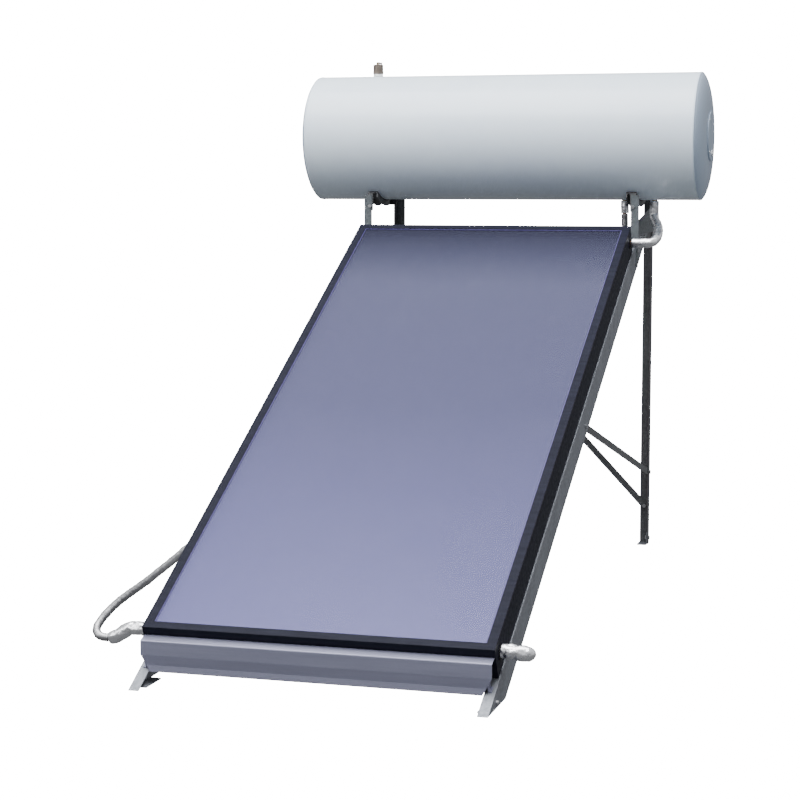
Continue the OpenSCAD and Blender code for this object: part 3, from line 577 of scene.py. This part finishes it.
def pipe_threads():
    """Threads on the two water connections, from their open ends inwards."""
    core, length = 13.2 * MM, 18 * MM
    low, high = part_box("cold_inlet_nipple")
    base = Vector(((low[0] + high[0]) / 2, (low[1] + high[1]) / 2, low[2]))
    thread("cold_inlet_thread", base, Z_AXIS, core, length, "black_plastic")
    low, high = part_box("hot_outlet_nipple")
    base = Vector((low[0], (low[1] + high[1]) / 2, (low[2] + high[2]) / 2))
    thread("hot_outlet_thread", base, X_AXIS, core, length, "brass")


# ---------------------------------------------------------------- studio
BACKDROP = 20.0        # brightness of the plain white ground that the camera sees
# name, place, the point it faces, side of the square in metres, watts
SOFTBOXES = (
    ("overhead", (-0.6, -1.4, 6.2), (-0.2, 0.4, 0.8), 5.0, 780),
    ("front_left", (-5.5, -6.5, 5.2), (0, 0, 0.8), 4.0, 240),
)
# the world's light by height: 0 straight down, 0.5 level, 1 straight up
SKY_LEVELS = ((0.0, 0.20), (0.5, 0.26), (0.7, 0.78), (1.0, 1.15))


def studio():
    size = 40
    mesh = bpy.data.meshes.new("floor")
    corners = [(-size, -size, 0), (size, -size, 0), (size, size, 0), (-size, size, 0)]
    mesh.from_pydata(corners, [], [(0, 1, 2, 3)])
    floor = bpy.data.objects.new("floor", mesh)
    bpy.context.scene.collection.objects.link(floor)
    floor.visible_diffuse = False      # the pale floor is a backdrop: it throws no light back up
    floor.visible_glossy = False
    pale = Look("floor", (0.93, 0.935, 0.94), 0.9, Specular_IOR_Level=0.1,
                Emission_Color=(1, 1, 1, 1), Emission_Strength=BACKDROP)
    pale.mottle(0.6, 0.004)
    mesh.materials.append(pale.material)
    sky()
    for box in SOFTBOXES:
        softbox(*box)


def sky():
    """Soft light that fades from the zenith to the ground, behind a plain white backdrop."""
    world = bpy.data.worlds.new("studio")
    bpy.context.scene.world = world
    world.use_nodes = True
    nodes = world.node_tree.nodes
    links = world.node_tree.links
    lit = nodes["Background"]
    up = nodes.new("ShaderNodeSeparateXYZ")
    links.new(nodes.new("ShaderNodeTexCoord").outputs["Generated"], up.inputs["Vector"])
    reach = nodes.new("ShaderNodeMapRange")
    reach.inputs["From Min"].default_value = -1
    links.new(up.outputs["Z"], reach.inputs["Value"])
    fade = nodes.new("ShaderNodeValToRGB")
    elements = fade.color_ramp.elements
    elements.new(0.5)
    elements.new(0.7)
    for element, (position, level) in zip(elements, SKY_LEVELS):
        element.position = position
        element.color = (level * 0.95, level * 0.97, level, 1)
    links.new(reach.outputs["Result"], fade.inputs["Fac"])
    links.new(fade.outputs["Color"], lit.inputs["Color"])
    lit.inputs["Strength"].default_value = 1.0
    plain = nodes.new("ShaderNodeBackground")
    plain.inputs["Color"].default_value = (1, 1, 1, 1)
    plain.inputs["Strength"].default_value = BACKDROP
    choose = nodes.new("ShaderNodeMixShader")
    links.new(nodes.new("ShaderNodeLightPath").outputs["Is Camera Ray"], choose.inputs["Fac"])
    links.new(lit.outputs["Background"], choose.inputs[1])
    links.new(plain.outputs["Background"], choose.inputs[2])
    links.new(choose.outputs["Shader"], nodes["World Output"].inputs["Surface"])


def softbox(name, place, target, size, power):
    light = bpy.data.lights.new(name, "AREA")
    light.shape = "SQUARE"
    light.size = size
    light.energy = power
    lamp = bpy.data.objects.new(name, light)
    lamp.location = place
    lamp.rotation_euler = (Vector(target) - Vector(place)).to_track_quat("-Z", "Y").to_euler()
    bpy.context.scene.collection.objects.link(lamp)


# the photograph's viewpoint
EYE = (1690.3, -4912.6, 1381.9)      # millimetres from the middle of the front feet
NOD, HEADING = 83.725, 16.147        # degrees up from straight down, and about the vertical
LENS, SENSOR = 90.04, 36             # millimetres


def camera():
    data = bpy.data.cameras.new("camera")
    data.lens = LENS
    data.sensor_width = SENSOR
    data.clip_end = 200
    cam = bpy.data.objects.new("camera", data)
    cam.location = site(*EYE)
    cam.rotation_euler = (math.radians(NOD), 0, math.radians(HEADING))
    bpy.context.scene.collection.objects.link(cam)
    bpy.context.scene.camera = cam


camera()
dress_frame()
hot_wrap()
cold_wrap()
plug_foil()
cap_beads()
pipe_threads()
studio()
